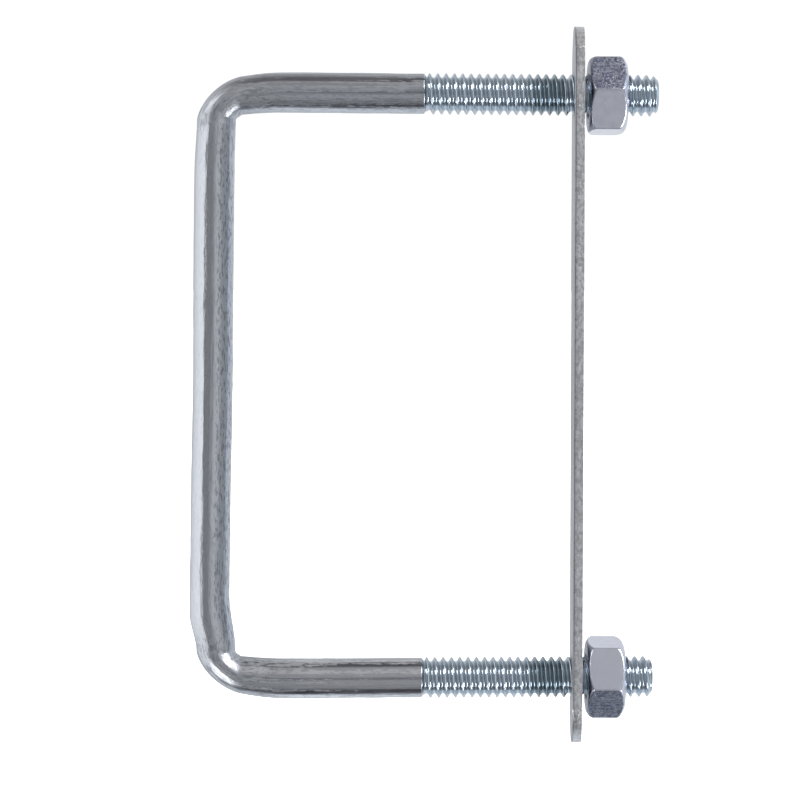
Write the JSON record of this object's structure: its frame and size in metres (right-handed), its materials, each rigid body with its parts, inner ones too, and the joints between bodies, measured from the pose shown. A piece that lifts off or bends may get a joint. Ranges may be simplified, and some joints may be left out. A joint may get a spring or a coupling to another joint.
{
  "type": "square-bend u-bolt with clamp plate",
  "caption": "Square-bend rod with two threaded legs, a loose clamp plate across them and hex nuts that screw the plate toward the crossbar.",
  "frame": {"origin": "middle of the crossbar's inner side, midway between the two legs", "axes": "+X along the legs from the crossbar to the threaded ends, +Z along the crossbar from the lower leg to the upper leg, Y across the bent rod"},
  "size_m": [0.0711, 0.0161, 0.109],
  "materials": {
    "zinc_rod": "bright zinc plate on drawn rod, with draw lines and small pits",
    "zinc_plate": "zinc plate on sheared flat steel, grainy on its cut edges",
    "zinc_nut": "bright zinc plate with a faint blue passivation tint"
  },
  "bodies": {
    "rod": {"u_bolt": "zinc_rod"},
    "plate": {"clamp_plate": "zinc_plate"},
    "nut_upper": {"upper_nut": "zinc_nut"},
    "nut_lower": {"lower_nut": "zinc_nut"}
  },
  "joints": [
    {"name": "plate_slide", "type": "slide", "parent": "rod", "child": "plate", "axis": [-1, 0, 0], "range_m": [-0.00413, 0.02413]},
    {"name": "upper_nut_turn", "type": "hinge", "parent": "plate", "child": "nut_upper", "pos_m": [0.0542, 0, 0.04435], "axis": [-1, 0, 0], "range_deg": [-1170.2, 6840.2]},
    {"name": "lower_nut_turn", "type": "hinge", "parent": "plate", "child": "nut_lower", "pos_m": [0.0542, 0, -0.04435], "axis": [-1, 0, 0], "range_deg": [-1170.2, 6840.2]}
  ],
  "couplings": [
    {"joint": "upper_nut_turn", "follows": "plate_slide", "rad_per_m": 4947.4},
    {"joint": "lower_nut_turn", "follows": "plate_slide", "rad_per_m": 4947.4}
  ]
}
